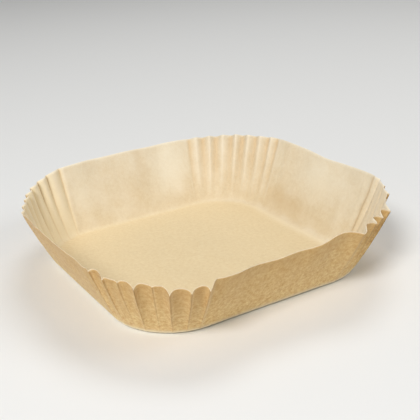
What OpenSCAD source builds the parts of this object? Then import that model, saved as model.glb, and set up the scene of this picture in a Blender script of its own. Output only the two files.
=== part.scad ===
// Square paper tray that lines an air fryer basket, pressed from one sheet.
// The floor lies on z = 0 with its centre at the origin. East is +x and north is +y.
// Lengths are in millimetres and angles in degrees.

/* [Floor] */
// Side of the square floor, across the folds at the foot of the walls
floor_side = 160; // [100:1:240]
// Radius of the floor's corners
corner_r = 37; // [20:1:48]
// Radius of the soft fold between the floor and the walls
fold_r = 4; // [1:0.5:6]

/* [Paper] */
// Thickness of the paper
paper_t = 0.1; // [0.06:0.01:0.3]

/* [Walls] */
// Height of the walls measured up their slope, from the floor's fold to the rim
wall_slant = 50; // [25:1:70]
// Slant of the east, north, west and south walls at their middle as a share of that height
wall_slant_share = [1, 1, 1.01, 1]; // [0.8:0.01:1.2]
// How much more a wall leans at its foot than at its rim
wall_curl = 8; // [1:1:20]
// Lean of the east wall from upright, at a quarter, half and three quarters of its length
east_lean = [31, 30.5, 30.5]; // [5:0.5:45]
// Lean of the north wall, read the same way and going round anticlockwise
north_lean = [27, 26, 25]; // [5:0.5:45]
// Lean of the west wall
west_lean = [31, 28.5, 26]; // [5:0.5:45]
// Lean of the south wall
south_lean = [26, 27.5, 28]; // [5:0.5:45]

/* [Corners] */
// Slant of the north east, north west, south west and south east corners as a share of the walls'
corner_slant_share = [1, 1, 0.86, 0.97]; // [0.8:0.01:1.2]
// Lean of the ribs of the north east corner, from its first pleat to its last
north_east_lean = [28.5, 23.5, 19.5, 23]; // [0:0.5:45]
// Lean of the ribs of the north west corner
north_west_lean = [23.5, 23.5, 26.5, 28.5]; // [0:0.5:45]
// Lean of the ribs of the south west corner, which is pulled in
south_west_lean = [20, 16.5, 14.5, 22]; // [0:0.5:45]
// Lean of the ribs of the south east corner, which is pushed out
south_east_lean = [28, 29, 31.5, 34]; // [0:0.5:45]
// Angles round the floor's corner at which the north east corner's first and last ridges start
north_east_feet = [2, 76]; // [0:1:90]
// Angles at which the north west corner's first and last ridges start
north_west_feet = [5, 85]; // [0:1:90]
// Angles at which the south west corner's first and last ridges start
south_west_feet = [12, 92]; // [0:1:95]
// Angles at which the south east corner's first and last ridges start
south_east_feet = [6, 82]; // [0:1:90]
// How far the north east corner's first and last ridges turn round the corner as they rise
north_east_turn = [-4, -13]; // [-35:1:35]
// How far the north west corner's first and last ridges turn
north_west_turn = [12, -16]; // [-35:1:35]
// How far the south west corner's first and last ridges turn
south_west_turn = [-6, 2]; // [-35:1:35]
// How far the south east corner's first and last ridges turn
south_east_turn = [31, -8]; // [-35:1:35]

/* [Pleats] */
// Pleats in each corner
pleats = 8; // [4:1:10]
// Depth of a full pleat at the rim, from its ridge to the ribs beside it
pleat_depth = 4.6; // [1:0.1:6]
// Depth of each fold of an even corner as a share of a full pleat, taken in turn
even_folds = [0.95, 0.9, 1, 1.1, 0.9, 1, 0.9, 0.85]; // [0.2:0.05:1.2]
// Depth of each fold of the south east corner, where some folds have fallen shut
uneven_folds = [0.55, 0.9, 0.4, 1.05, 0.3, 1.05, 0.95, 1]; // [0.2:0.05:1.2]
// Width of the step from a wall out to its nearest ridge, as a share of half a pleat
step_share = 0.6; // [0.4:0.05:1]
// How round the ribs are, from 0 for a plain wave to 1 for a full arch
rib_round = 0.8; // [0:0.05:0.9]

/* [Hidden] */

kraft = [0.88, 0.77, 0.58];

// Columns of points in half a pleat and along a wall, rows in the foot fold and up the wall
half_cols = 4;
wall_cols = 10;
fold_rows = 2;
wall_rows = 3;
// Longest point of the paper's offset at a sharp ridge, in half thicknesses
sharpest_mitre = 3;

// Walls and corners in the order in which the outline meets them, from the east wall on
wall_leans = [east_lean, north_lean, west_lean, south_lean];
corner_leans = [north_east_lean, north_west_lean, south_west_lean, south_east_lean];
feet = [north_east_feet, north_west_feet, south_west_feet, south_east_feet];
turns = [north_east_turn, north_west_turn, south_west_turn, south_east_turn];
folds = [even_folds, even_folds, even_folds, uneven_folds];
lean_stations = [for (i = [0:3]) each concat(wall_leans[i], corner_leans[i])];
stations = len(wall_leans[0]) + len(corner_leans[0]);
slant_stations = [for (i = [0:3]) each [wall_slant_share[i], corner_slant_share[i]] * wall_slant];

// Half of a wall's straight stretch, the arc of a corner, and from wall to wall along the outline
straight = floor_side / 2 - corner_r;
corner_arc = corner_r * PI / 2;
wall_to_wall = 2 * straight + corner_arc;

function unit(v) = v / norm(v);

// A plan point turned by i quarter turns
function quarter(p, i) = i == 0 ? p : quarter([-p.y, p.x], i - 1);

// Plan point of the floor's outline at distance d past the middle of wall i
function outline(i, d) =
    d > straight + corner_arc ? outline((i + 1) % 4, d - wall_to_wall)
    : abs(d) <= straight ? quarter([floor_side / 2, d], i)
    : let (a = (abs(d) - straight) / corner_r * 180 / PI)
      quarter([straight + corner_r * cos(a), sign(d) * (straight + corner_r * sin(a))], i);

// Direction in which the outline faces at that point
function facing(i, d) =
    90 * i + sign(d) * min(90, max(0, (abs(d) - straight) / corner_r * 180 / PI));

// Smooth curve through the values of a closed list, at place q in it
function smooth(list, q) =
    let (
        n = len(list),
        k = floor(q),
        t = q - k,
        a = list[(k - 1 + n) % n],
        b = list[(k + n) % n],
        c = list[(k + 1 + n) % n],
        e = list[(k + 2 + n) % n]
    )
    b + t / 2 * (c - a + t * (2 * a - 5 * b + 4 * c - e + t * (3 * b - a - 3 * c + e)));

// Angle between neighbouring ridges of corner i, and the angles at which its pleats begin and end
function pitch(i) = (feet[i][1] - feet[i][0]) / (pleats - 1);
function first_angle(i) = feet[i][0] - step_share * pitch(i) / 2;
function last_angle(i) = feet[i][1] + step_share * pitch(i) / 2;
function past_corner(a) = straight + corner_r * a * PI / 180;

// Place across half a pleat and how far out the paper stands there, from ridge at 0 to rib at 1
function across(u) = (1 - rib_round) * u + rib_round * (1 - cos(90 * u));
function outward(u) = 1 - sin(90 * u);

// A column is its foot on the outline, the plan direction in which it rises, its lean and its slant
function wall_columns(i) =
    let (
        before = (i + 3) % 4,
        from = past_corner(last_angle(before)) - wall_to_wall,
        to = past_corner(first_angle(i))
    )
    [for (j = [0:wall_cols - 1])
        let (
            f = j / wall_cols,
            d = from + (to - from) * f,
            turn = turns[before][1] + (turns[i][0] - turns[before][1]) * f
        )
        [
            outline(i, d),
            facing(i, d) + turn,
            smooth(lean_stations, stations * i - 1 + 4 * f),
            smooth(slant_stations, 2 * i - 0.5 + f)
        ]];

// Half pleats come in turn, first rising to a ridge and then falling to a rib
function corner_columns(i) =
    [for (k = [0:2 * pleats - 1], j = [0:half_cols - 1])
        let (
            rising = k % 2 == 0,
            u = rising ? 1 - j / half_cols : j / half_cols,
            x = rising ? 1 - across(u) : across(u),
            step = k == 0 || k == 2 * pleats - 1 ? step_share : 1,
            ridge = feet[i][0] + floor(k / 2) * pitch(i),
            a = ridge + step * pitch(i) / 2 * (rising ? x - 1 : x),
            f = max(0, min(1, (a - feet[i][0]) / (feet[i][1] - feet[i][0]))),
            d = past_corner(a),
            depth = pleat_depth * folds[i][floor(k / 2) % len(folds[i])],
            slant = smooth(slant_stations, 2 * i + 0.5 + f),
            fold_lean = outward(u) * asin(depth / slant),
            turn = turns[i][0] + (turns[i][1] - turns[i][0]) * f
        )
        [
            outline(i, d),
            facing(i, d) + turn,
            smooth(lean_stations, stations * i + 3 + 3 * f) + fold_lean,
            slant
        ]];

columns = [for (i = [0:3]) each concat(wall_columns(i), corner_columns(i))];
cols = len(columns);
rows = fold_rows + wall_rows + 1;

// Distance out and height of a column's middle surface at row r, with the slope there
function profile(c, r) =
    let (
        foot_lean = c[2] + wall_curl / 2,
        rise = 90 - foot_lean,
        tangent = fold_r * tan(rise / 2),
        length = c[3] - tangent,
        bend = wall_curl / length,
        radius = 180 / PI / bend
    )
    r <= fold_rows
    ? let (a = rise * r / fold_rows)
      [fold_r * sin(a) - tangent, fold_r * (1 - cos(a)), 90 - a]
    : let (now = foot_lean - bend * length * (r - fold_rows) / wall_rows)
      [
          tangent * cos(rise) + radius * (cos(now) - cos(foot_lean)),
          tangent * sin(rise) + radius * (sin(foot_lean) - sin(now)),
          now
      ];

// Points of the middle surface and the direction up the slope at each, row by row
function lift(c, out, up) = [c[0].x + out * cos(c[1]), c[0].y + out * sin(c[1]), up];
middle = [for (r = [0:rows - 1]) [for (c = columns)
    let (p = profile(c, r)) lift(c, p[0], p[1] + paper_t / 2)]];
slopes = [for (r = [0:rows - 1]) [for (c = columns)
    let (p = profile(c, r)) [sin(p[2]) * cos(c[1]), sin(p[2]) * sin(c[1]), cos(p[2])]]];

// Half the paper's thickness at a point, square to the paper and longer at a sharp ridge
function half_sheet(r, k) =
    let (
        line = middle[r],
        before = unit(line[k] - line[(k + cols - 1) % cols]),
        after = unit(line[(k + 1) % cols] - line[k]),
        mitre = r == 0 ? 1 : min(sharpest_mitre, 2 / norm(before + after))
    )
    unit(cross(before + after, slopes[r][k])) * mitre * paper_t / 2;

// Sides are 1 for the outer face and -1 for the inner face
function face_points(side) =
    [for (r = [0:rows - 1], k = [0:cols - 1]) middle[r][k] + side * half_sheet(r, k)];

module paper_liner() {
    outer = 0;
    inner = rows * cols;
    centre = 2 * rows * cols;
    rim = (rows - 1) * cols;
    points = concat(face_points(1), face_points(-1), [[0, 0, 0], [0, 0, paper_t]]);
    walls = [for (r = [0:rows - 2], k = [0:cols - 1])
        let (
            a = r * cols + k,
            b = r * cols + (k + 1) % cols
        )
        each [
            [outer + a, outer + a + cols, outer + b + cols],
            [outer + a, outer + b + cols, outer + b],
            [inner + a, inner + b + cols, inner + a + cols],
            [inner + a, inner + b, inner + b + cols]
        ]];
    edges = [for (k = [0:cols - 1])
        let (n = (k + 1) % cols)
        each [
            [outer + rim + k, inner + rim + k, inner + rim + n],
            [outer + rim + k, inner + rim + n, outer + rim + n],
            [centre, outer + k, outer + n],
            [centre + 1, inner + n, inner + k]
        ]];
    color(kraft) polyhedron(points = points, faces = concat(walls, edges), convexity = 12);
}

paper_liner();
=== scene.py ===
"""A square paper tray that lines an air fryer basket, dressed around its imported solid.

East is +x and north is +y, and the floor's centre is the origin. The sheet is worked out in
millimetres and degrees. The stage, the lamps and the camera are in metres.
"""
import math

import bpy
import numpy as np
from mathutils import Matrix, Vector


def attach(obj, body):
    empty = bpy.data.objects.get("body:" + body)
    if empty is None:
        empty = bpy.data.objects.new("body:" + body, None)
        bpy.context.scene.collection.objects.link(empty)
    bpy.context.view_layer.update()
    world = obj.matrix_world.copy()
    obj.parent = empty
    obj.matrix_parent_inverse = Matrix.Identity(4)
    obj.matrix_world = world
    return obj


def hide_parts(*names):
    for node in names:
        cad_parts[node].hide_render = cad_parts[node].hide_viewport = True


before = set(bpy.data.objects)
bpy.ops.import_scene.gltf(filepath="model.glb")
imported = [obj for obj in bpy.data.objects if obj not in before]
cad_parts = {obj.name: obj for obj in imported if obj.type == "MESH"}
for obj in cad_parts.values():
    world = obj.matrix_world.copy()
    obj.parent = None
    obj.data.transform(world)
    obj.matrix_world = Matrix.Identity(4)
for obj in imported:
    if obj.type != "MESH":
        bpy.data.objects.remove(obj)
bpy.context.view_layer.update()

MM = 0.001

# ---------------------------------------------------------------- sizes of the sheet
FLOOR_SIDE = 160.0
CORNER_R = 37.0
FOLD_R = 4.0
WALL_SLANT = 50.0
# How much more a wall leans at its foot than at its rim
WALL_CURL = 8.0
PAPER_T = 0.1
PLEATS = 8
PLEAT_DEPTH = 4.6
# Width of the step from a wall out to its nearest ridge, as a share of half a pleat
STEP_SHARE = 0.6
# How round a full rib is, from 0 for a plain wave to 1 for a full arch
RIB_ROUND = 0.8

# East, north, west and south, at a quarter, half and three quarters of each wall's length
WALL_LEAN = [[31, 30.5, 30.5], [27, 26, 25], [31, 28.5, 26], [26, 27.5, 28]]
WALL_SLANT_SHARE = [1, 1, 1.01, 1]
# North east, north west, south west and south east: the ribs' leans, the slant's share of the
# walls', and where the first and the last ridge start and how far they turn as they rise
CORNER_LEAN = [
    [28.5, 23.5, 19.5, 23],
    [23.5, 23.5, 26.5, 28.5],
    [20, 16.5, 14.5, 22],
    [28, 29, 31.5, 34],
]
CORNER_SLANT_SHARE = [1, 1, 0.86, 0.97]
CORNER_FEET = [[2, 76], [5, 85], [12, 92], [6, 82]]
CORNER_TURN = [[-4, -13], [12, -16], [-6, 2], [31, -8]]
# Depth of each fold as a share of a full pleat
FOLD_SHARE = [
    [0.95, 0.9, 1, 1.1, 0.9, 1, 0.9, 0.85],
    [0.7, 0.85, 0.95, 1.05, 0.9, 1, 0.85, 0.55],
    [0.5, 0.6, 0.7, 0.85, 0.8, 0.85, 0.8, 0.7],
    [0.55, 0.9, 0.4, 1.05, 0.3, 1.05, 0.95, 1],
]
# How far each ridge has slipped towards the rib before it, in half pleats
FOLD_SLIP = [
    [0.05, 0.12, -0.1, 0.08, -0.12, 0.1, -0.05, 0.1],
    [-0.08, 0.1, 0.05, -0.12, 0.1, -0.06, 0.12, -0.1],
    [0.1, -0.1, 0.12, 0.05, -0.1, 0.08, -0.12, 0.06],
    [0.05, 0.1, 0.0, 0.3, 0.05, 0.25, 0.1, 0.15],
]
# What the handled sheet adds at the rim to each corner's ridges: degrees of turn, then of lean
RIDGE_TURN = [
    [-3.2, -3.4, -9.3, -7.8, -12.4, -8.1, -6.6, -4.5],
    [0.5, -0.5, 1, 0, -1, 0.5, 1, -0.5],
    [0, 0, 1, 1, 3, 5, 2, 1],
    [-0.3, 2.0, -0.1, 2.7, -0.2, -0.2, 0.2, -1.1],
]
RIDGE_LEAN = [
    [0.6, -1.0, -0.8, 0.4, -2.3, -1.3, -3.8, -5.4],
    [0] * 8,
    [0, 0, -0.5, -1, -0.5, -2, -2.5, -1.5],
    [-0.5, -0.7, 0.2, -0.2, -0.4, 1.0, 0.5, 0.4],
]
# The same for the seven ribs between them
RIB_TURN = [
    [-6.5, -10.9, -9.5, -8.6, -7.7, -4.7, -3.2],
    [0] * 7,
    [0, 0, 1, 2, 4, 4, 2],
    [-1.1, -1.3, -1.6, -0.8, -1.9, -1.1, 0.7],
]
RIB_LEAN = [
    [0.7, -0.6, -0.3, 1.0, 2.0, -0.2, -1.4],
    [0] * 7,
    [0] * 7,
    [-0.8, 1.2, -0.3, -0.6, -0.1, 1.4, 1.3],
]
# Lean added where a wall meets each corner, before the corner and after it, fading along the wall
END_LEAN = [[6.0, 1.0], [1.5, 1.5], [1.5, 2.0], [1.0, -1.0]]
END_REACH = 0.16
# Paper that stands higher or lower at the rim: six places along each wall and four round its corner
RIM_GROWTH = [
    [2.0, 0.2, -2.4, -1.6, -1.6, 2.8, 2.8, 0.3, 0.3, 0.6],
    [1.0, 1.0, 0.5, -0.2, 0.8, 1.3, 1.3, 0.1, 0.1, -0.4],
    [-0.9, -0.4, -0.7, -0.4, 0.0, 1.1, 1.5, 1.1, 0.8, 0.0],
    [-0.5, 0.5, 0.0, -1.2, 0.8, 1.0, 0.8, 0.0, 0.0, 0.6],
]
# Form of each corner's pleats, from 1 for sharp ridges between round ribs, through 0 for a plain
# wave, to -1 for round ridges between sharp ribs, and the share of it that the steps to the walls keep
FOLD_FORM = [0.75, -0.2, 0.5, 0.95]
STEP_FORM = 0.2

# The lists above as closed lists round the outline, and how many entries each wall and side has
LEANS = sum((WALL_LEAN[i] + CORNER_LEAN[i] for i in range(4)), [])
WALL_LEANS, SIDE_LEANS = 3, 7
GROWTHS = sum(RIM_GROWTH, [])
WALL_GROWTHS, CORNER_GROWTHS, SIDE_GROWTHS = 6, 4, 10
SLANTS = [WALL_SLANT * share for pair in zip(WALL_SLANT_SHARE, CORNER_SLANT_SHARE) for share in pair]
PITCH = [(last - first) / (PLEATS - 1) for first, last in CORNER_FEET]
STRAIGHT = FLOOR_SIDE / 2 - CORNER_R
WALL_TO_WALL = 2 * STRAIGHT + CORNER_R * math.pi / 2

# ---------------------------------------------------------------- how finely it is drawn
HALF_COLS = 8
WALL_COLS = 72
SIDE_COLS = WALL_COLS + 2 * PLEATS * HALF_COLS
# How much closer together a wall's lines stand at its ends than at its middle
END_CROWDING = 0.09
FLOOR_ROWS = 22
# Power of the floor's rows, below 1 where they crowd towards the fold
FLOOR_CROWDING = 0.8
FOLD_ROWS = 6
WALL_ROWS = 26
# The inner face keeps at least this share of the paper's thickness above the ground
LEAST_INNER = 0.9
# Side in metres of the square that the unfolded sheet's UV map covers
UV_SIDE = 0.3

# ---------------------------------------------------------------- what handling leaves
# Relief as sums of waves: seed, shortest and longest wave in mm, and number of waves
SWAY_WAVES = (11, 40, 120, 24)
CRINKLE_WAVES = (5, 9, 30, 60)
FINE_WAVES = (8, 4, 9, 60)
FLOOR_WAVES = (21, 14, 60, 50)
# Height of that relief in mm on the plain walls and on the pleats
SWAY_HEIGHT = (0.55, 0.15)
CRINKLE_HEIGHT = (0.16, 0.08)
FINE_HEIGHT = (0.035, 0.03)
# The sway's power of the height up the wall, and how much slower it changes with height than along
SWAY_GROWTH = 1.3
SWAY_UPRIGHT = 0.35
# Height of the floor's ripples and of its fine relief, and how far their mean is raised
FLOOR_HEIGHT, FLOOR_FINE, FLOOR_RAISE = 0.16, 0.03, 1.2
# How steeply each relief fades in up the wall, or in from the floor's fold
CRINKLE_RISE, FINE_RISE, DENT_RISE, RIPPLE_RISE = 4, 6, 4, 6
# Creases up the walls: place at the foot and at the rim (wall's number and share of its length),
# half width as such a share, depth outwards in mm, and the heights where it starts and ends
CREASES = [
    (1.022, 1.018, 0.013, -1.2, 0.05, 1.1),
    (1.080, 1.095, 0.010, -0.25, 0.2, 0.9),
    (1.93, 1.93, 0.020, 0.4, 0.1, 1.1),
    (2.62, 2.66, 0.012, -0.22, 0.3, 1.0),
    (2.36, 2.33, 0.012, 0.20, 0.1, 0.8),
    (3.45, 3.47, 0.012, 0.30, 0.0, 0.8),
    (0.62, 0.60, 0.012, -0.18, 0.2, 1.0),
]
CREASE_FADE = 0.15
# Dents: place along the walls, height, half width and half height as shares, and depth outwards in mm
DENTS = [
    (1.56, 1.00, 0.10, 0.45, -0.9),
    (1.80, 0.70, 0.12, 0.40, 0.7),
    (1.30, 0.60, 0.14, 0.40, 0.5),
    (2.20, 0.65, 0.10, 0.50, 0.7),
    (2.48, 0.80, 0.12, 0.40, -0.6),
    (0.35, 0.70, 0.14, 0.40, -0.5),
    (3.30, 0.75, 0.12, 0.40, 0.6),
]

# ---------------------------------------------------------------- where the paint lies
# Paler (above 0) and browner (below 0) patches of wear and of painted highlight and shade, the last a
# painted shadow line along the north wall's crease: place, height, half width, half height and strength
PATCHES = [
    (2.15, 0.68, 0.15, 0.45, 0.8),
    (2.40, 0.85, 0.05, 0.35, -0.5),
    (2.48, 0.35, 0.06, 0.20, -0.3),
    (2.60, 0.50, 0.40, 0.70, 0.08),
    (2.92, 0.70, 0.08, 0.50, 0.5),
    (1.55, 0.72, 0.20, 0.32, 0.8),
    (1.15, 0.80, 0.22, 0.40, 0.4),
    (1.76, 0.17, 0.28, 0.17, -0.9),
    (1.031, 0.55, 0.014, 0.90, -1.6),
]
BROWNEST, PALEST = -1.6, 1.0
# How much paler each corner's pleats are painted inside, as painted light that lifts their shade
CORNER_PAINTED_LIGHT = [0.0, 0.0, 0.75, 0.0]
# Where the painted highlight band at the floor's foot lies, in mm past the middle of the fold, at each
# wall's middle, how strongly it shows there, and its half width in mm
FOOT_BAND = [-1.0, -5.5, -0.5, -1.0]
FOOT_GLOW = [0.20, 0.42, 0.10, 0.20]
FOOT_WIDTH = 3.6
# Width in mm over which the floor's colour turns into the wall's
FOOT_RAMP = 4.0
# Place and half width in mm of the painted highlight along the edge round the liner's foot outside
EDGE_AT, EDGE_WIDTH = 0.4, 2.2
# Half widths of the folds' lines as shares of half a pleat, the ridges', valleys' and crests' lines being
# painted shade: a plain wave's and what a full form adds
RIDGE_WIDTH = (0.3, -0.2)
RIB_WIDTH = (0.35, 0.1)
VALLEY_WIDTH = (0.2, 0.2)
CREST_WIDTH = 0.12
# Place and half width, as shares of half a pleat, of the painted highlight beside each ridge on its falling
# side
BESIDE_AT, BESIDE_WIDTH = 0.3, 0.14
# Strength of a sharp fold's painted ridge shade at its foot, and of the painted shade along a round fold's
# crests and a sharp one's valleys
RIDGE_AT_FOOT, ROUND_CREST, SHARP_VALLEY = 0.45, 0.4, 0.25
# Height below the wall's first row over which the folds' lines fade in
LINE_FADE = 0.15

# ---------------------------------------------------------------- paint, in screen values from 0 to 255
# Darker and paler tone of the paper on its parts; the walls' tones grow paler up the wall as painted light
# shining through the paper
FLOOR_TONES = (215, 190, 143), (233, 215, 177)
LOW_WALL_TONES = (212, 189, 149), (229, 213, 181)
HIGH_WALL_TONES = (224, 205, 170), (240, 228, 204)
# The outside's browner tones are painted shade, with a painted brown glow of light through the paper
SHADED_OUTSIDE_TONES = (207, 158, 86), (255, 233, 173)
# Colour and strength of each layer over them, inside and then outside
CLOUDS = (246, 236, 214), 0.35
PALE_WEAR_AND_HIGHLIGHT = (247, 240, 219), 0.6
BROWN_WEAR_AND_SHADE = (202, 170, 118), 0.45
PAINTED_CORNER_LIGHT = (255, 240, 202), 1.0
RIDGE_SHADE = (214, 181, 130), 0.6
RIB_LIGHT = (250, 239, 218), 0.5
FOOT_LIGHT = (250, 236, 206), 1.0
TOP_SHADE = (189, 145, 80), 0.62
BESIDE_LIGHT = (252, 230, 184), 0.3
CREST_SHADE = (150, 104, 54), 0.4
VALLEY_SHADE = (150, 104, 54), 0.45
EDGE_LIGHT = (255, 242, 210), 1.0
RIM_HIGHLIGHT = (251, 240, 216), 0.55
# Height at which the painted highlight along the rim starts, and how steeply it comes in
RIM_HIGHLIGHT_FROM, RIM_HIGHLIGHT_RISE = 0.978, 50.0
# Share of the outside's fold lines, painted shade and highlight, that shows at the foot
LINE_AT_FOOT = 0.3
# Noise in the paper: scale to the metre, detail, roughness and distortion
CLOUD_NOISE = (70.0, 3.0, 0.5, 0.0)
MAT_NOISE = (420.0, 3.0, 0.6, 0.0)
SPECK_NOISE = (1000.0, 2.0, 0.6, 0.0)
FIBRE_NOISE = (900.0, 2.0, 0.5, 1.6)
# How strongly the mat and the specks show in the tones, and how much of that shows inside
MAT_CONTRAST, SPECK_CONTRAST, INSIDE_CONTRAST = 1.7, 1.1, 0.6
CLOUD_FROM, CLOUD_CONTRAST = 0.42, 3.0
ROUGHNESS, ROUGHNESS_CONTRAST = 0.62, 0.25
MAT_RELIEF, SPECK_RELIEF, FIBRE_RELIEF = 0.55, 0.25, 0.35

# ---------------------------------------------------------------- stage, lamps and camera
STAGE_HALF = 6.0
STAGE_Z = -0.0002
STAGE_COLOUR = (236, 236, 234)
WORLD_STRENGTH = 0.22
LAMP_DISTANCE = 1.9
# Lamps: azimuth and elevation in degrees, size in metres and power in watts
LAMPS = {"key": (36, 42, 0.6, 24.5), "back": (225, 62, 0.9, 9.0), "fill": (135, 40, 0.9, 6.5)}
AZIMUTH, ELEVATION, ROLL = 59.2, 21.9, -2.7
DISTANCE = 0.5856
AIM = Vector((-0.0624, 0.0464, 0.0))
FOCAL_PIXELS, FRAME_PIXELS, SENSOR = 800.0, 420.0, 36.0
CLIP_START = 0.01


# ---------------------------------------------------------------- the sheet's form
def outline(wall, along):
    """Plan points of the floor's outline, and the way it faces there in degrees.

    A point lies along past the middle of a wall: on the straight edge, then round a quarter circle of
    the corner's radius, and then on the next wall's edge.
    """
    along = np.asarray(along, float)
    over = along > STRAIGHT + CORNER_R * math.pi / 2
    wall = np.where(over, wall + 1, wall)
    along = np.where(over, along - WALL_TO_WALL, along)
    bend = np.sign(along) * np.clip(np.abs(along) - STRAIGHT, 0, None) / CORNER_R
    x = np.where(bend == 0, FLOOR_SIDE / 2, STRAIGHT + CORNER_R * np.cos(bend))
    y = np.where(bend == 0, along, np.sign(along) * STRAIGHT + CORNER_R * np.sin(bend))
    quarter = wall * math.pi / 2
    cos, sin = np.cos(quarter), np.sin(quarter)
    return x * cos - y * sin, x * sin + y * cos, np.degrees(quarter + bend)


def smooth(values, place):
    """Catmull-Rom curve through the values of a closed list, read at the given places in it."""
    values = np.asarray(values, float)
    n = len(values)
    k = np.floor(place).astype(int)
    t = place - k
    a, b, c, e = (values[(k + step) % n] for step in (-1, 0, 1, 2))
    return b + t / 2 * (c - a + t * (2 * a - 5 * b + 4 * c - e + t * (3 * b - a - 3 * c + e)))


def bell(distance, width):
    """1 at distance 0, falling off as the exponential of the square of distance over width."""
    return np.exp(-(distance / width) ** 2)


def past_corner(angle):
    """Distance along the outline from a wall's middle to an angle round the corner after it."""
    return STRAIGHT + CORNER_R * np.radians(angle)


def wall_shares():
    """Where a wall's columns stand as shares of its length, crowding towards its ends by a sine."""
    share = np.arange(WALL_COLS) / WALL_COLS
    return share - END_CROWDING * np.sin(2 * np.pi * share)


def wall_columns(i):
    """Columns of plain wall i, whose lean and slant are smooth curves along it.

    Near each end the lean grows by the square of what is left of the reach.
    """
    before = (i + 3) % 4
    start = past_corner(CORNER_FEET[before][1] + STEP_SHARE * PITCH[before] / 2) - WALL_TO_WALL
    stop = past_corner(CORNER_FEET[i][0] - STEP_SHARE * PITCH[i] / 2)
    f = wall_shares()
    x, y, facing = outline(i, start + (stop - start) * f)
    turn = CORNER_TURN[before][1] + (CORNER_TURN[i][0] - CORNER_TURN[before][1]) * f
    lean = smooth(LEANS, SIDE_LEANS * i - 1 + (WALL_LEANS + 1) * f)
    lean += END_LEAN[before][1] * np.clip(1 - f / END_REACH, 0, 1) ** 2
    lean += END_LEAN[i][0] * np.clip(1 - (1 - f) / END_REACH, 0, 1) ** 2
    slant = smooth(SLANTS, 2 * i - 0.5 + f) + smooth(GROWTHS, SIDE_GROWTHS * i + WALL_GROWTHS * f)
    return np.stack([x, y, facing + turn, lean, 0 * f, slant, 0 * f - 1], -1)


def half_pleat_columns(i, half):
    """Columns of one half pleat of corner i: even ones rise to a ridge and odd ones fall to a rib.

    With u from 0 at the ridge to 1 at the rib, the paper stands out by 1 - sin(u quarter turns) in a
    sharp form, by cos(u quarter turns) in a blunt one and by half of 1 + cos(u half turns) in a wave.
    """
    first, last = CORNER_FEET[i]
    rising = half % 2 == 0
    fold = half // 2
    at_wall = half in (0, 2 * PLEATS - 1)
    j = np.arange(HALF_COLS) / HALF_COLS
    u = 1 - j if rising else j
    form = STEP_FORM * max(FOLD_FORM[i], 0) if at_wall else FOLD_FORM[i]
    sharp, blunt = max(form, 0), max(-form, 0)
    arch = RIB_ROUND * sharp
    across = (1 - arch) * u + arch * (1 - np.cos(np.pi / 2 * u))
    step = STEP_SHARE if at_wall else 1
    centre = first + fold * PITCH[i]
    ridge = centre - FOLD_SLIP[i][fold] * PITCH[i] / 2
    rib = centre + (-step if rising else step) * PITCH[i] / 2
    angle = ridge + (rib - ridge) * across
    f = np.clip((angle - first) / (last - first), 0, 1)
    x, y, facing = outline(i, past_corner(angle))
    turn = CORNER_TURN[i][0] + (CORNER_TURN[i][1] - CORNER_TURN[i][0]) * f
    rib_number = fold if rising else fold + 1
    rib_turn = ([0] + RIB_TURN[i] + [0])[rib_number]
    rib_lean = (END_LEAN[i][:1] + RIB_LEAN[i] + END_LEAN[i][1:])[rib_number]
    wave = (1 + np.cos(np.pi * u)) / 2
    turn += RIDGE_TURN[i][fold] * wave + rib_turn * (1 - wave)
    lean = smooth(LEANS, SIDE_LEANS * i + WALL_LEANS + 3 * f)
    lean += RIDGE_LEAN[i][fold] * wave + rib_lean * (1 - wave)
    slant = smooth(SLANTS, 2 * i + 0.5 + f)
    slant += smooth(GROWTHS, SIDE_GROWTHS * i + WALL_GROWTHS + CORNER_GROWTHS * f)
    outward = (1 - sharp - blunt) * wave
    outward += sharp * (1 - np.sin(np.pi / 2 * u)) + blunt * np.cos(np.pi / 2 * u)
    extra = outward * np.degrees(np.arcsin(PLEAT_DEPTH * FOLD_SHARE[i][fold] / slant))
    return np.stack([x, y, facing + turn, lean, extra, slant, u], -1)


def columns():
    """One row of numbers for each line that climbs the wall.

    The numbers are the foot's x and y, the plan direction of the climb, the rib's lean, the extra lean
    of a ridge, the slant, and the share of the way across a half pleat from ridge to rib, or -1 on a
    plain wall.
    """
    parts = []
    for i in range(4):
        parts.append(wall_columns(i))
        parts += [half_pleat_columns(i, half) for half in range(2 * PLEATS)]
    return np.concatenate(parts)


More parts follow.
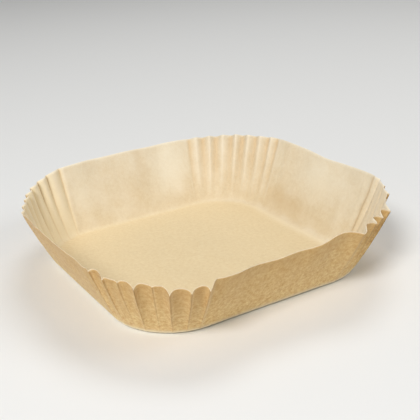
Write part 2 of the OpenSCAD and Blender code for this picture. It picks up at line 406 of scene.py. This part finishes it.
def sheet_middle():
    """The columns, and their points in rows from the floor's centre out to the rim.

    The points are those of the paper's middle surface and those of the unfolded sheet, and each row
    has its height: below 0 on the floor, 0 in the fold, and up to 1 at the rim. The floor's rows are
    the outline shrunk towards the centre. A column then bends up round an arc of the fold's radius and
    climbs on an arc that leans less and less, as in the solid.
    """
    c = columns()
    x, y, way, lean, extra, slant = c[:, :6].T
    way = np.radians(way)
    foot_lean = lean + extra + WALL_CURL / 2
    rise = 90 - foot_lean
    tangent = FOLD_R * np.tan(np.radians(rise / 2))
    length = slant - tangent
    bend = WALL_CURL / length
    radius = 180 / np.pi / bend
    middle, flat, heights = [], [], []

    def add_row(out, up, run, height):
        middle.append(np.stack([x + out * np.cos(way), y + out * np.sin(way), up], -1))
        flat.append(np.stack([x + run * np.cos(way), y + run * np.sin(way)], -1))
        heights.append(height)

    for r in range(1, FLOOR_ROWS):
        share = (r / FLOOR_ROWS) ** FLOOR_CROWDING
        px = (x - tangent * np.cos(way)) * share
        py = (y - tangent * np.sin(way)) * share
        middle.append(np.stack([px, py, 0 * px], -1))
        flat.append(np.stack([px, py], -1))
        heights.append(-1 + share)
    for r in range(FOLD_ROWS + 1):
        a = np.radians(rise * r / FOLD_ROWS)
        add_row(FOLD_R * np.sin(a) - tangent, FOLD_R * (1 - np.cos(a)), FOLD_R * a - tangent, 0.0)
    foot, turned = np.radians(foot_lean), np.radians(rise)
    for r in range(1, WALL_ROWS + 1):
        share = r / WALL_ROWS
        now = np.radians(foot_lean - bend * length * share)
        out = tangent * np.cos(turned) + radius * (np.cos(now) - np.cos(foot))
        up = tangent * np.sin(turned) + radius * (np.sin(foot) - np.sin(now))
        add_row(out, up, FOLD_R * turned - tangent + length * share, share)
    return c, np.array(middle), np.array(flat), np.array(heights)


def closed_normals(grid):
    """Unit normals of a grid whose columns close on themselves, pointing out of the tray."""
    along = np.roll(grid, -1, 1) - np.roll(grid, 1, 1)
    climb = np.gradient(grid, axis=0)
    n = np.cross(along, climb)
    return n / np.maximum(np.linalg.norm(n, axis=-1, keepdims=True), 1e-12)


# ---------------------------------------------------------------- handling
def waves(points, seed, shortest, longest, count):
    """Smooth random relief of about unit height: a sum of plane waves with seeded directions."""
    draw = np.random.default_rng(seed)
    length = shortest * (longest / shortest) ** draw.random(count)
    way = draw.normal(size=(count, 3))
    way /= np.linalg.norm(way, axis=1, keepdims=True)
    phase = draw.random(count) * 2 * np.pi
    height = (length / longest) ** 0.7
    total = np.zeros(points.shape[:-1])
    for k in range(count):
        total += height[k] * np.sin(points @ (way[k] * 2 * np.pi / length[k]) + phase[k])
    return total / np.sqrt((height ** 2).sum() / 2)


def places(count, heights):
    """Each column's wall number plus its share of that wall, or -9 in a corner, and each row's height."""
    place = np.full(count, -9.0)
    for i in range(4):
        place[i * SIDE_COLS:i * SIDE_COLS + WALL_COLS] = i + wall_shares()
    return place[None, :], np.clip(heights, 0, 1)[:, None]


def wear_and_light_patches(count, heights):
    """How pale (above 0) or brown (below 0) the paper is painted by wear and by painted highlight and
    shade, the sum of a bell for each patch.
    """
    place, up = places(count, heights)
    shade = 0 * (place + up)
    for at, height, width, tall, strength in PATCHES:
        shade += strength * bell(place - at, width) * bell(up - height, tall)
    return np.clip(shade, BROWNEST, PALEST)


def handling(count, heights):
    """Millimetres that creases and dents push the walls out, each a bell in its place and its height."""
    place, up = places(count, heights)
    push = 0 * (place + up)
    for at_foot, at_rim, width, depth, low, high in CREASES:
        centre = at_foot + (at_rim - at_foot) * up
        fade = np.clip((up - low) / CREASE_FADE, 0, 1) * np.clip((high - up) / CREASE_FADE, 0, 1)
        push += depth * fade * bell(place - centre, width)
    for at, height, width, tall, depth in DENTS:
        rise = np.clip(up * DENT_RISE, 0, 1)
        push += depth * bell(place - at, width) * bell(up - height, tall) * rise
    return push


def crumple(c, grid, heights):
    """Moves the middle surface off its plain form: slow sway of the walls, crinkles and floor ripples."""
    n = closed_normals(grid)
    wall = np.clip(heights, 0, 1)[:, None]
    sway = waves(grid * [1, 1, SWAY_UPRIGHT], *SWAY_WAVES)
    crinkle = waves(grid, *CRINKLE_WAVES)
    fine = waves(grid, *FINE_WAVES)
    plain = (c[:, 6] < 0)[None, :]
    amount = wall ** SWAY_GROWTH * np.where(plain, *SWAY_HEIGHT) * sway
    amount += np.clip(wall * CRINKLE_RISE, 0, 1) * np.where(plain, *CRINKLE_HEIGHT) * crinkle
    amount += np.clip(wall * FINE_RISE, 0, 1) * np.where(plain, *FINE_HEIGHT) * fine
    moved = grid + n * (amount + handling(len(c), heights))[..., None]
    lift = FLOOR_HEIGHT * (waves(grid, *FLOOR_WAVES) + FLOOR_RAISE) + FLOOR_FINE * fine
    from_fold = np.clip(-heights, 0, 1)[:, None]
    moved[..., 2] += np.clip(lift * np.clip(from_fold * RIPPLE_RISE, 0, 1), 0, None)
    return moved


# ---------------------------------------------------------------- the sheet's mesh
def paint_guides(c, flat, heights):
    """Values on the grid that the paint follows, by name.

    The folds' lines, which carry painted shade and highlight, are bells across a half pleat that fade in
    above the floor's fold.
    The foot's bands, which carry painted highlights, are bells, and a ramp, of the distance in mm from the
    middle of that fold along the unfolded sheet.
    """
    rows, cols = len(heights), len(c)
    height = np.broadcast_to(np.clip(heights, 0, 1)[:, None], (rows, cols))
    form = np.repeat(FOLD_FORM, SIDE_COLS)
    in_fold = c[:, 6] >= 0
    from_ridge = np.clip(c[:, 6], 0, 1)
    column = np.arange(cols) % SIDE_COLS - WALL_COLS
    falling = in_fold * (column // HALF_COLS % 2 == 1)
    width = lambda pair: pair[0] + pair[1] * form
    drawn = np.where(form > 0, RIDGE_AT_FOOT + (1 - RIDGE_AT_FOOT) * height, height)
    sharp = np.where(form > 0, 1, ROUND_CREST)
    on_wall = np.clip((heights + LINE_FADE) / LINE_FADE, 0, 1)[:, None]
    fold_row = FLOOR_ROWS + FOLD_ROWS // 2
    past_fold = np.linalg.norm(flat - flat[fold_row], axis=-1)
    past_fold = np.where(np.arange(rows)[:, None] < fold_row, -past_fold, past_fold)
    side_place = (np.arange(cols) - WALL_COLS / 2) / SIDE_COLS
    past_band = past_fold - smooth(FOOT_BAND, side_place)
    into_corner = np.clip(column / (2 * PLEATS * HALF_COLS), 0, 1)
    return {
        "height": height,
        "ridge": in_fold * bell(from_ridge, width(RIDGE_WIDTH)) * drawn * on_wall,
        "rib": in_fold * bell(1 - from_ridge, width(RIB_WIDTH)) * on_wall,
        "crest": in_fold * bell(from_ridge, CREST_WIDTH) * sharp * on_wall,
        "beside": falling * bell(from_ridge - BESIDE_AT, BESIDE_WIDTH) * sharp * on_wall,
        "valley": in_fold * bell(1 - from_ridge, width(VALLEY_WIDTH))
                  * np.where(form > 0, SHARP_VALLEY, 1) * on_wall,
        "above_foot": np.clip(0.5 + past_band / FOOT_RAMP, 0, 1),
        "foot_fold": bell(past_band, FOOT_WIDTH) * smooth(FOOT_GLOW, side_place),
        "foot_edge": bell(past_fold - EDGE_AT, EDGE_WIDTH),
        # Patches of wear and of painted highlight and shade
        "wear_and_light": wear_and_light_patches(cols, heights),
        # Painted light that lifts the shade in the corners' pleats
        "pale": np.broadcast_to(np.repeat(CORNER_PAINTED_LIGHT, SIDE_COLS) * np.sin(np.pi * into_corner) ** 0.5,
                                (rows, cols)),
    }


def sheet_faces(rows, cols):
    """Faces of the closed sheet: quads of both faces and of the rim, and triangles round both centres.

    The outer face's points come first, row by row, then the inner face's, and then the two centres.
    """
    size = rows * cols
    r, k = np.meshgrid(np.arange(rows - 1), np.arange(cols), indexing="ij")
    a = (r * cols + k).ravel()
    b = (r * cols + (k + 1) % cols).ravel()
    k = np.arange(cols)
    m = (k + 1) % cols
    top = (rows - 1) * cols
    quads = np.concatenate([
        np.stack([a, b, b + cols, a + cols], -1),
        np.stack([a, a + cols, b + cols, b], -1) + size,
        np.stack([top + k, top + m, size + top + m, size + top + k], -1)])
    under = np.stack([0 * k + 2 * size, m, k], -1)
    over = np.stack([0 * k + 2 * size + 1, size + k, size + m], -1)
    return quads.tolist() + under.tolist() + over.tolist()


def paper_sheet(name, material):
    """The closed sheet: the middle surface moved out and in by half the paper, its rim and its centre."""
    c, grid, flat, heights = sheet_middle()
    grid = crumple(c, grid, heights)
    grid[..., 2] += PAPER_T / 2
    n = closed_normals(grid)
    n[heights < 0] = [0, 0, -1]
    rows, cols = grid.shape[:2]
    outer = grid + n * PAPER_T / 2
    inner = grid - n * PAPER_T / 2
    outer[..., 2] = np.maximum(outer[..., 2], 0)
    inner[..., 2] = np.maximum(inner[..., 2], PAPER_T * LEAST_INNER)
    centre_z = grid[0, :, 2].mean()
    centres = [[0, 0, centre_z - PAPER_T / 2], [0, 0, centre_z + PAPER_T / 2]]
    points = np.concatenate([outer.reshape(-1, 3), inner.reshape(-1, 3), centres]) * MM
    mesh = bpy.data.meshes.new(name)
    mesh.from_pydata(points.tolist(), [], sheet_faces(rows, cols))
    mesh.polygons.foreach_set("use_smooth", np.ones(len(mesh.polygons), bool))

    def on_points(label, values):
        layer = mesh.attributes.new(label, "FLOAT", "POINT")
        layer.data.foreach_set("value", np.asarray(values, np.float32).ravel())

    on_points("outside", np.repeat([1, 0, 1, 0], [rows * cols, rows * cols, 1, 1]))
    for label, values in paint_guides(c, flat, heights).items():
        on_points(label, np.concatenate([values.ravel(), values.ravel(), [values[0].mean()] * 2]))
    unfolded = np.concatenate([flat.reshape(-1, 2), flat.reshape(-1, 2), [[0, 0], [0, 0]]]) * MM
    uv = mesh.uv_layers.new(name="unfolded")
    loops = np.zeros(len(mesh.loops), np.int32)
    mesh.loops.foreach_get("vertex_index", loops)
    uv.data.foreach_set("uv", (unfolded[loops] / UV_SIDE + 0.5).astype(np.float32).ravel())
    mesh.materials.append(material)
    mesh.update()
    piece = bpy.data.objects.new(name, mesh)
    bpy.context.scene.collection.objects.link(piece)
    return piece


# ---------------------------------------------------------------- materials
class Wire:
    """A socket's value in an expression: each operator adds the Math node that works it out."""

    def __init__(self, nodes, socket):
        self.nodes, self.socket = nodes, socket

    def _maths(self, operation, *values):
        return self.nodes.add("ShaderNodeMath", dict(operation=operation), *values)

    def __add__(self, other): return self._maths("ADD", self, other)
    def __radd__(self, other): return self._maths("ADD", other, self)
    def __sub__(self, other): return self._maths("SUBTRACT", self, other)
    def __rsub__(self, other): return self._maths("SUBTRACT", other, self)
    def __mul__(self, other): return self._maths("MULTIPLY", self, other)
    def __rmul__(self, other): return self._maths("MULTIPLY", other, self)

    def clipped(self):
        """Kept from 0 to 1."""
        return self._maths("MINIMUM", self._maths("MAXIMUM", self, 0.0), 1.0)


class Finish:
    """A material's node tree, with one method that adds any node."""

    def __init__(self, name):
        self.material = bpy.data.materials.new(name)
        self.material.use_nodes = True
        self.tree = self.material.node_tree
        self.tree.nodes.clear()

    def add(self, kind, settings=None, *values, out=0, **named):
        """Adds a node, sets its settings and then its sockets, by order or by name."""
        node = self.tree.nodes.new(kind)
        for key, value in (settings or {}).items():
            setattr(node, key, value)
        pairs = [(node.inputs[i], v) for i, v in enumerate(values)]
        pairs += [(self._socket(node, key), v) for key, v in named.items()]
        self._fill(pairs)
        return node if out is None else Wire(self, node.outputs[out])

    def _fill(self, pairs):
        for socket, value in pairs:
            if isinstance(value, Wire):
                self.tree.links.new(value.socket, socket)
            else:
                socket.default_value = value

    @staticmethod
    def _socket(node, key):
        wanted = key.replace("_", " ").lower()
        for socket in node.inputs:
            if socket.enabled and socket.name.lower() == wanted:
                return socket
        raise KeyError(key)

    def mix(self, share, a, b):
        """Mixes two colours. A Mix node's sockets 6 and 7, and output 2, are those of its colours."""
        node = self.add("ShaderNodeMix", dict(data_type="RGBA"), out=None)
        self._fill([(node.inputs[0], share), (node.inputs[6], a), (node.inputs[7], b)])
        return Wire(self, node.outputs[2])

    def tones(self, share, pair):
        """A part's darker and paler tone, mixed."""
        return self.mix(share, srgb(*pair[0]), srgb(*pair[1]))

    def layer(self, under, share, paint):
        """A layer of paint over a colour, as strong as the share times its own strength."""
        colour, strength = paint
        return self.mix((share * strength).clipped(), under, srgb(*colour))

    def noise(self, where, scale, detail, rough, distortion):
        return self.add("ShaderNodeTexNoise", dict(noise_dimensions="3D"), vector=where, scale=scale,
                        detail=detail, roughness=rough, distortion=distortion)

    def surface(self, **sockets):
        shader = self.add("ShaderNodeBsdfPrincipled", None, **sockets)
        self.add("ShaderNodeOutputMaterial", None, surface=shader, out=None)
        return self.material


def srgb(r, g, b):
    """A colour written in 0 to 255 screen values, as the linear one that Blender works in."""
    line = [v / 255 for v in (r, g, b)]
    return tuple(v / 12.92 if v <= 0.04045 else ((v + 0.055) / 1.055) ** 2.4 for v in line) + (1.0,)


def baking_paper():
    """Unbleached baking paper: a cloudy, specked fibre mat, cream inside and browner outside by painted
    shade.

    Layers of paint follow the sheet's guides: fold lines of painted shade and highlight, the foot's painted
    highlights, patches of wear and painted light, the corners' painted light, and the rim's painted
    highlight.
    """
    f = Finish("baking_paper")
    where = f.add("ShaderNodeTexCoord", None, out=3)
    grab = lambda name: f.add("ShaderNodeAttribute", dict(attribute_name=name), out=2)
    height, wear_and_light = grab("height"), grab("wear_and_light")
    cloud, mat = f.noise(where, *CLOUD_NOISE), f.noise(where, *MAT_NOISE)
    speck, fibre = f.noise(where, *SPECK_NOISE), f.noise(where, *FIBRE_NOISE)
    tone = ((mat - 0.5) * MAT_CONTRAST + (speck - 0.5) * SPECK_CONTRAST + 0.5).clipped()
    soft_tone = (tone - 0.5) * INSIDE_CONTRAST + 0.5

    # Paler towards the rim: painted light shining through the paper
    wall = f.mix(height, f.tones(soft_tone, LOW_WALL_TONES), f.tones(soft_tone, HIGH_WALL_TONES))
    wall = f.layer(wall, ((cloud - CLOUD_FROM) * CLOUD_CONTRAST).clipped(), CLOUDS)
    # Patches of wear and of painted highlight and shade, with a painted shadow line along the north wall's
    # crease
    wall = f.layer(wall, wear_and_light, PALE_WEAR_AND_HIGHLIGHT)
    wall = f.layer(wall, wear_and_light * -1.0, BROWN_WEAR_AND_SHADE)
    # Painted light in the corners' pleats
    wall = f.layer(wall, grab("pale"), PAINTED_CORNER_LIGHT)
    inside = f.mix(grab("above_foot"), f.tones(soft_tone, FLOOR_TONES), wall)
    inside = f.layer(inside, grab("ridge"), RIDGE_SHADE)
    inside = f.layer(inside, grab("rib") * height, RIB_LIGHT)
    # Painted highlight along the fold at the floor's foot
    inside = f.layer(inside, grab("foot_fold"), FOOT_LIGHT)

    drawn = height * (1 - LINE_AT_FOOT) + LINE_AT_FOOT
    # The outside's browner tones and its darker top are painted shade
    outside = f.layer(f.tones(tone, SHADED_OUTSIDE_TONES), height, TOP_SHADE)
    # Painted highlight beside each ridge
    outside = f.layer(outside, grab("beside") * drawn, BESIDE_LIGHT)
    # Painted shade along the crests and the valleys of the folds outside
    outside = f.layer(outside, grab("crest") * drawn, CREST_SHADE)
    outside = f.layer(outside, grab("valley") * drawn, VALLEY_SHADE)
    # Painted highlight along the edge round the foot
    outside = f.layer(outside, grab("foot_edge"), EDGE_LIGHT)

    colour = f.mix(grab("outside"), inside, outside)
    # Painted highlight along the rim
    colour = f.layer(colour, ((height - RIM_HIGHLIGHT_FROM) * RIM_HIGHLIGHT_RISE).clipped(), RIM_HIGHLIGHT)
    rough = (ROUGHNESS + (mat - 0.5) * ROUGHNESS_CONTRAST).clipped()
    relief = mat * MAT_RELIEF + speck * SPECK_RELIEF + fibre * FIBRE_RELIEF
    bump = f.add("ShaderNodeBump", None, strength=0.28, distance=0.0004, height=relief)
    return f.surface(base_color=colour, roughness=rough, normal=bump, specular_ior_level=0.32,
                     sheen_weight=0.08, sheen_roughness=0.6)


def stage_floor():
    """A pale matt floor, which takes the liner's shadow."""
    f = Finish("studio_floor")
    return f.surface(base_color=srgb(*STAGE_COLOUR), roughness=0.85, specular_ior_level=0.2)


# ---------------------------------------------------------------- the liner
liner = paper_sheet("pleated_sheet", baking_paper())
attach(liner, "root")
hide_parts("paper_liner")

# ---------------------------------------------------------------- stage
floor_mesh = bpy.data.meshes.new("studio_floor")
floor_corners = [(x * STAGE_HALF, y * STAGE_HALF, STAGE_Z) for x, y in ((-1, -1), (1, -1), (1, 1), (-1, 1))]
floor_mesh.from_pydata(floor_corners, [], [(0, 1, 2, 3)])
floor_mesh.materials.append(stage_floor())
studio_floor = bpy.data.objects.new("studio_floor", floor_mesh)
bpy.context.scene.collection.objects.link(studio_floor)


def direction(azimuth, elevation):
    """Unit vector that points to an azimuth, from the south round by the east, and an elevation."""
    az, el = math.radians(azimuth), math.radians(elevation)
    return Vector((math.sin(az) * math.cos(el), -math.cos(az) * math.cos(el), math.sin(el)))


def soft_lamp(name, azimuth, elevation, size, power):
    """A round lamp, the lamps' distance from the floor's centre and aimed at it."""
    spot = LAMP_DISTANCE * direction(azimuth, elevation)
    lamp = bpy.data.lights.new(name, "AREA")
    lamp.shape = "DISK"
    lamp.size = size
    lamp.energy = power
    holder = bpy.data.objects.new(name, lamp)
    holder.location = spot
    holder.rotation_euler = (-spot).to_track_quat("-Z", "Y").to_euler()
    bpy.context.scene.collection.objects.link(holder)


world = bpy.data.worlds.new("studio")
world.use_nodes = True
world.node_tree.nodes["Background"].inputs[0].default_value = (1, 1, 1, 1)
world.node_tree.nodes["Background"].inputs[1].default_value = WORLD_STRENGTH
bpy.context.scene.world = world
for lamp_name, lamp_settings in LAMPS.items():
    soft_lamp(lamp_name, *lamp_settings)


# ---------------------------------------------------------------- camera
def place_camera():
    """Looks at the aim from the photograph's side and height, rolled a little."""
    roll = math.radians(ROLL)
    back = direction(AZIMUTH, ELEVATION)
    right = Vector((math.cos(math.radians(AZIMUTH)), math.sin(math.radians(AZIMUTH)), 0))
    up = back.cross(right)
    right, up = (right * math.cos(roll) + up * math.sin(roll),
                 up * math.cos(roll) - right * math.sin(roll))
    lens = bpy.data.cameras.new("camera")
    lens.sensor_fit = "HORIZONTAL"
    lens.sensor_width = SENSOR
    lens.lens = FOCAL_PIXELS / FRAME_PIXELS * SENSOR
    lens.clip_start = CLIP_START
    holder = bpy.data.objects.new("camera", lens)
    turn = Matrix((right, up, back)).transposed().to_4x4()
    holder.matrix_world = Matrix.Translation(AIM + back * DISTANCE) @ turn
    bpy.context.scene.collection.objects.link(holder)
    bpy.context.scene.camera = holder


place_camera()
bpy.context.scene.view_settings.view_transform = "Standard"
